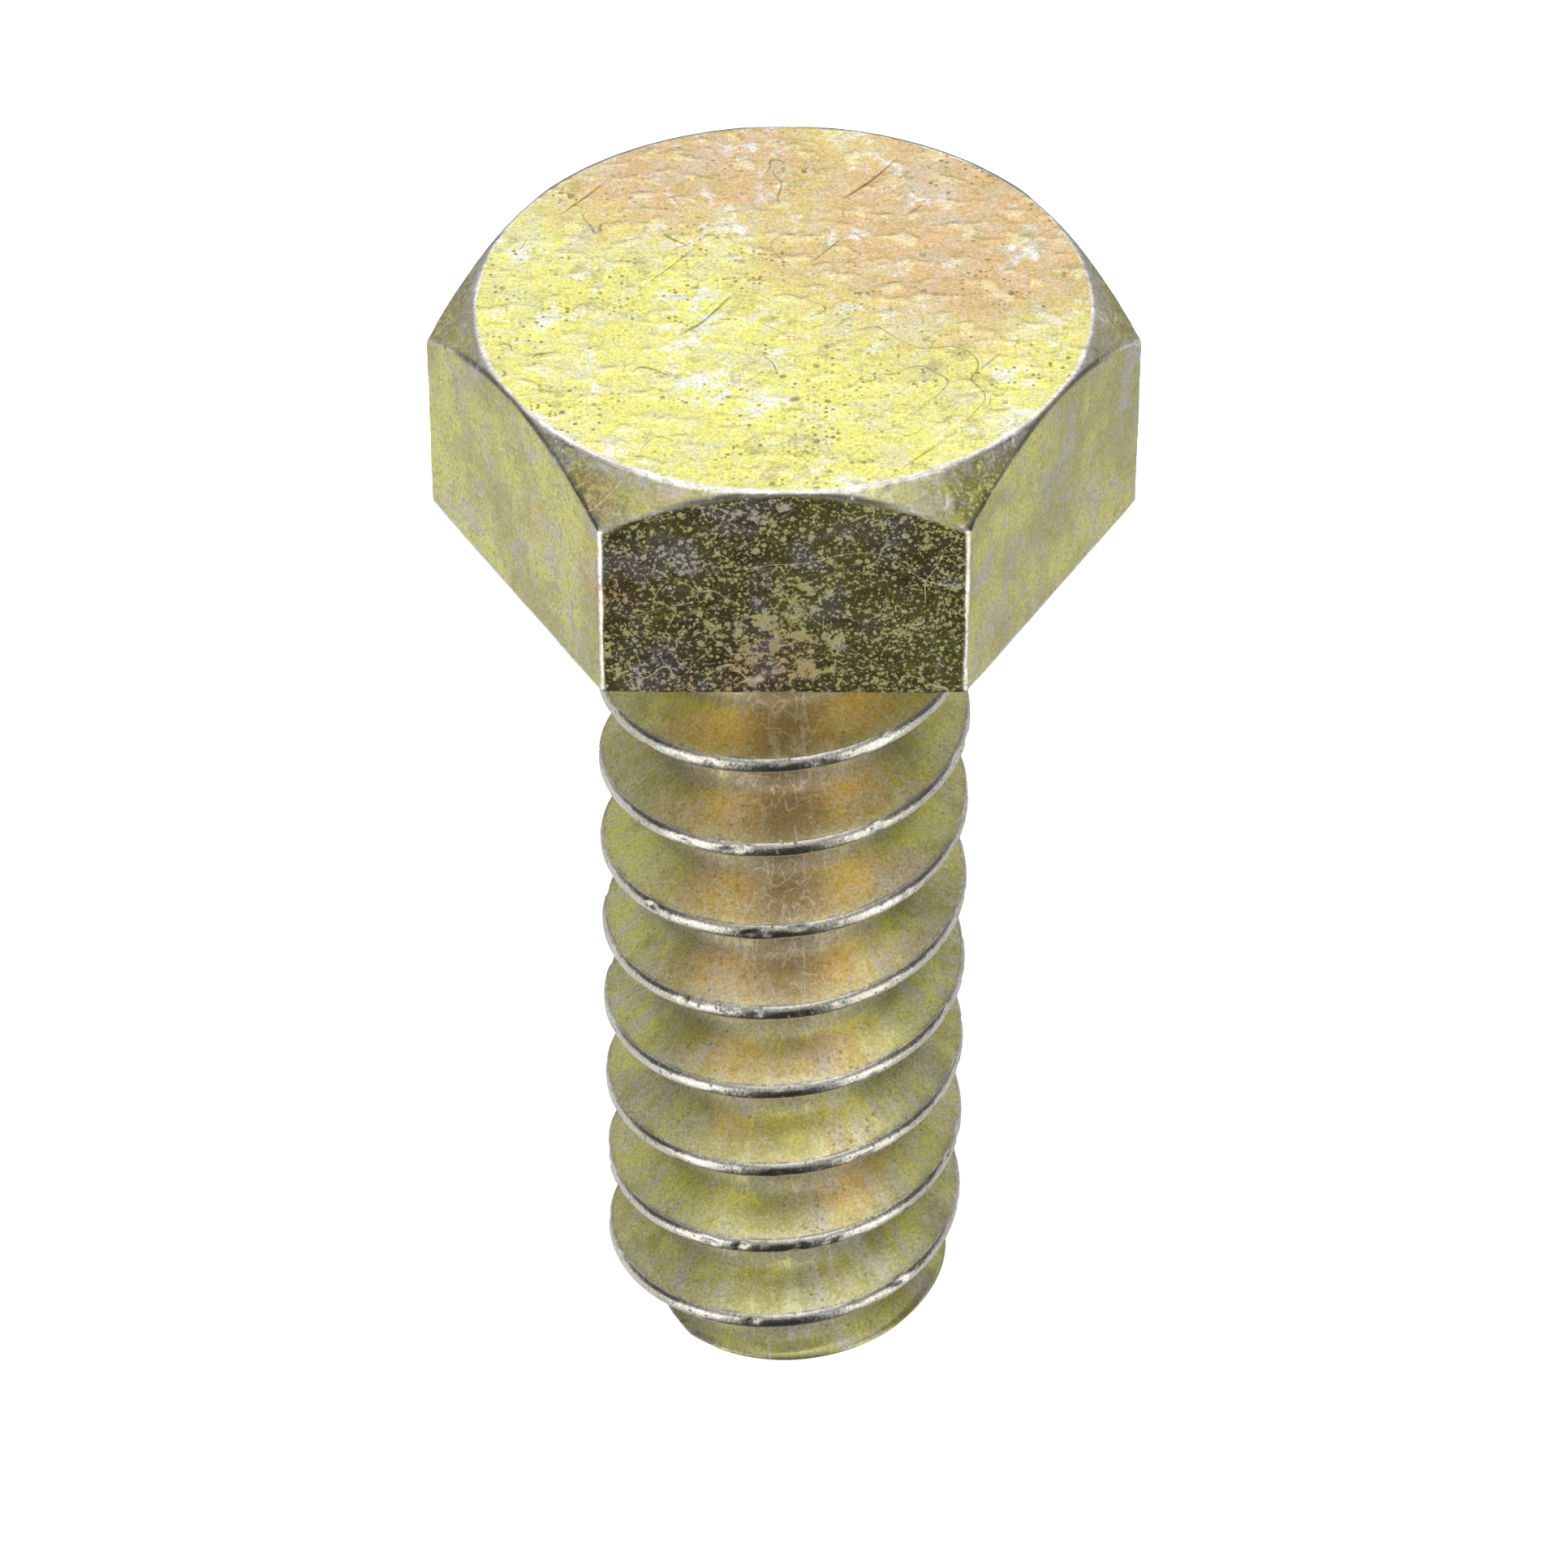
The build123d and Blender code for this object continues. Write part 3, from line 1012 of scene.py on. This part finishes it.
def make_floor():
    """A plain pale floor under the tip."""
    data = bpy.data.meshes.new("floor")
    low, high = -FLOOR_HALF, FLOOR_HALF
    corners = [(low, low, 0), (high, low, 0), (high, high, 0), (low, high, 0)]
    data.from_pydata(corners, [], [(0, 1, 2, 3)])
    floor = bpy.data.objects.new("floor", data)
    floor.location.z = -SHANK_LENGTH
    bpy.context.scene.collection.objects.link(floor)
    material = bpy.data.materials.new("pale_floor")
    material.use_nodes = True
    shader = material.node_tree.nodes["Principled BSDF"]
    shader.inputs["Base Color"].default_value = (0.9, 0.9, 0.9, 1)
    shader.inputs["Roughness"].default_value = 1.0
    shader.inputs["Specular IOR Level"].default_value = 0.0
    shader.inputs["Emission Color"].default_value = (1, 1, 1, 1)
    shader.inputs["Emission Strength"].default_value = FLOOR_GLOW
    data.materials.append(material)
    floor.visible_glossy = False
    floor.visible_diffuse = False


def make_world():
    """Even studio light with soft bright and dark panels, by direction."""
    world = bpy.data.worlds.new("studio")
    world.use_nodes = True
    bpy.context.scene.world = world
    g = Graph(world.node_tree)
    background = world.node_tree.nodes["Background"]
    way = g.add("ShaderNodeTexCoord", {}).outputs["Generated"]

    def panel(direction, edge, middle):
        """1 in the middle of a round panel, 0 outside it; sizes are angles in degrees."""
        inputs = {0: way, 1: Vector(direction).normalized()}
        along = g.add("ShaderNodeVectorMath", inputs, operation="DOT_PRODUCT").outputs["Value"]
        return g.step(along, math.cos(math.radians(edge)), math.cos(math.radians(middle)))

    level = WORLD_LEVEL
    for direction, edge, middle, gain in BRIGHT_PANELS:
        level = g.math("ADD", level, g.math("MULTIPLY", panel(direction, edge, middle), gain))
    for direction, edge, middle, share in DARK_PANELS:
        level = g.without(level, g.math("MULTIPLY", panel(direction, edge, middle), share))
    seen = g.add("ShaderNodeLightPath", {}).outputs["Is Camera Ray"]
    strength = g.blend(seen, level, BACKDROP_LEVEL)
    world.node_tree.links.new(strength, background.inputs["Strength"])
    background.inputs["Color"].default_value = (1, 1, 1, 1)


def make_lights():
    """Two soft boxes overhead."""
    for name, x in (("left", -1), ("right", 1)):
        data = bpy.data.lights.new(f"soft_box_{name}", "AREA")
        data.shape = "RECTANGLE"
        data.size, data.size_y = SOFT_BOX_SIZE
        data.energy = SOFT_BOX_POWER
        light = bpy.data.objects.new(f"soft_box_{name}", data)
        way = Vector((0.33 * x, -0.08, 0.94)).normalized()
        light.location = way * SOFT_BOX_DISTANCE
        light.rotation_euler = way.to_track_quat("Z", "Y").to_euler()
        bpy.context.scene.collection.objects.link(light)


def make_camera():
    """A camera above the front flat, looking down at the middle of the bolt."""
    data = bpy.data.cameras.new("camera")
    data.lens = LENS_MM
    data.sensor_width = SENSOR_MM
    data.clip_start = CLIP_NEAR
    data.clip_end = CLIP_FAR
    camera = bpy.data.objects.new("camera", data)
    way = Vector((0, -math.cos(CAMERA_ELEVATION), math.sin(CAMERA_ELEVATION)))
    camera.location = CAMERA_TARGET + way * CAMERA_DISTANCE
    camera.rotation_euler = (math.pi / 2 - CAMERA_ELEVATION, 0, 0)
    bpy.context.scene.collection.objects.link(camera)
    bpy.context.scene.camera = camera


bolt = make_bolt()
bolt.data.materials.append(plated_metal())
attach(bolt, "root")
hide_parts("hex_bolt")
make_floor()
make_world()
make_lights()
make_camera()
bpy.context.scene.view_settings.view_transform = "Standard"
